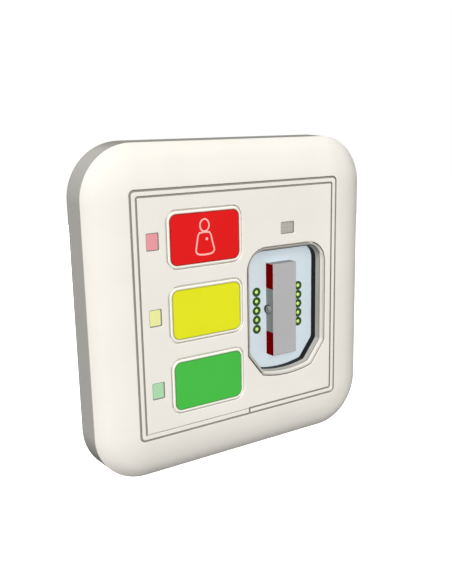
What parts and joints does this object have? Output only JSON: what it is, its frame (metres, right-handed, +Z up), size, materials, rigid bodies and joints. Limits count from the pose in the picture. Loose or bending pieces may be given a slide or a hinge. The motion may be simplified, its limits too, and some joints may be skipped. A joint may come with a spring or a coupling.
{
  "type": "radio call unit",
  "caption": "Square wall unit with coloured call keys beside small signal windows, and a shield-shaped recessed socket with ringed contacts and a magnet bar for a pull-off plug.",
  "frame": {"origin": "middle of the unit's back, on the wall plane", "axes": "+X to the right seen from the front, +Y into the wall, +Z up; the front faces -Y"},
  "size_m": [0.086, 0.011, 0.086],
  "materials": {
    "casing": "fine matt cream",
    "base": "matt",
    "key_white": "satin",
    "key_red": "satin",
    "key_yellow": "satin",
    "key_green": "satin",
    "window_red": "frosted",
    "window_yellow": "frosted",
    "window_green": "frosted",
    "window_grey": "frosted",
    "lamp_red": "clear tinted",
    "lamp_yellow": "clear tinted",
    "lamp_green": "clear tinted",
    "sensor": "smooth",
    "board": "solder mask",
    "steel": "drawn",
    "strip": "spring strip",
    "tub": "matt black",
    "floor": "smooth pale blue",
    "ring": "smooth dark green",
    "core": "smooth, tinted green",
    "bar": "satin grey",
    "magnet": "satin dark red",
    "stem": "matt"
  },
  "bodies": {
    "housing": {"base_plate": "base", "surround_frame": "casing", "rim_ring": "casing", "front_panel": "casing", "socket_bezel": "casing", "red_switch": "steel", "yellow_switch": "steel", "green_switch": "steel", "red_window": "window_red", "yellow_window": "window_yellow", "green_window": "window_green", "sensor_window": "window_grey", "red_lamp": "lamp_red", "yellow_lamp": "lamp_yellow", "green_lamp": "lamp_green", "light_sensor": "sensor", "main_board": "board", "radio_shield": "steel", "antenna": "steel", "board_screws": "steel", "socket_tub": "tub", "contact_board": "floor", "left_contact_rings": "ring", "right_contact_rings": "ring", "left_contact_cores": "core", "right_contact_cores": "core", "magnet_bar": "bar", "pole_plate": "bar", "upper_left_magnet": "magnet", "lower_left_magnet": "magnet", "upper_right_magnet": "magnet", "lower_right_magnet": "magnet", "coding_stud": "bar", "upper_cell": "steel", "lower_cell": "steel", "upper_cell_strip": "strip", "lower_cell_strip": "strip"},
    "red_key_unit": {"red_key": "key_white", "red_key_field": "key_red", "red_stem": "stem"},
    "yellow_key_unit": {"yellow_key": "key_white", "yellow_key_field": "key_yellow", "yellow_stem": "stem"},
    "green_key_unit": {"green_key": "key_white", "green_key_field": "key_green", "green_stem": "stem"}
  },
  "joints": [
    {"name": "red_key_press", "type": "slide", "parent": "housing", "child": "red_key_unit", "axis": [0, 1, 0], "range_m": [0, 0.0008], "stiffness_N_per_m": 1500, "springref_m": -0.0008},
    {"name": "yellow_key_press", "type": "slide", "parent": "housing", "child": "yellow_key_unit", "axis": [0, 1, 0], "range_m": [0, 0.0008], "stiffness_N_per_m": 1500, "springref_m": -0.0008},
    {"name": "green_key_press", "type": "slide", "parent": "housing", "child": "green_key_unit", "axis": [0, 1, 0], "range_m": [0, 0.0008], "stiffness_N_per_m": 1500, "springref_m": -0.0008}
  ]
}
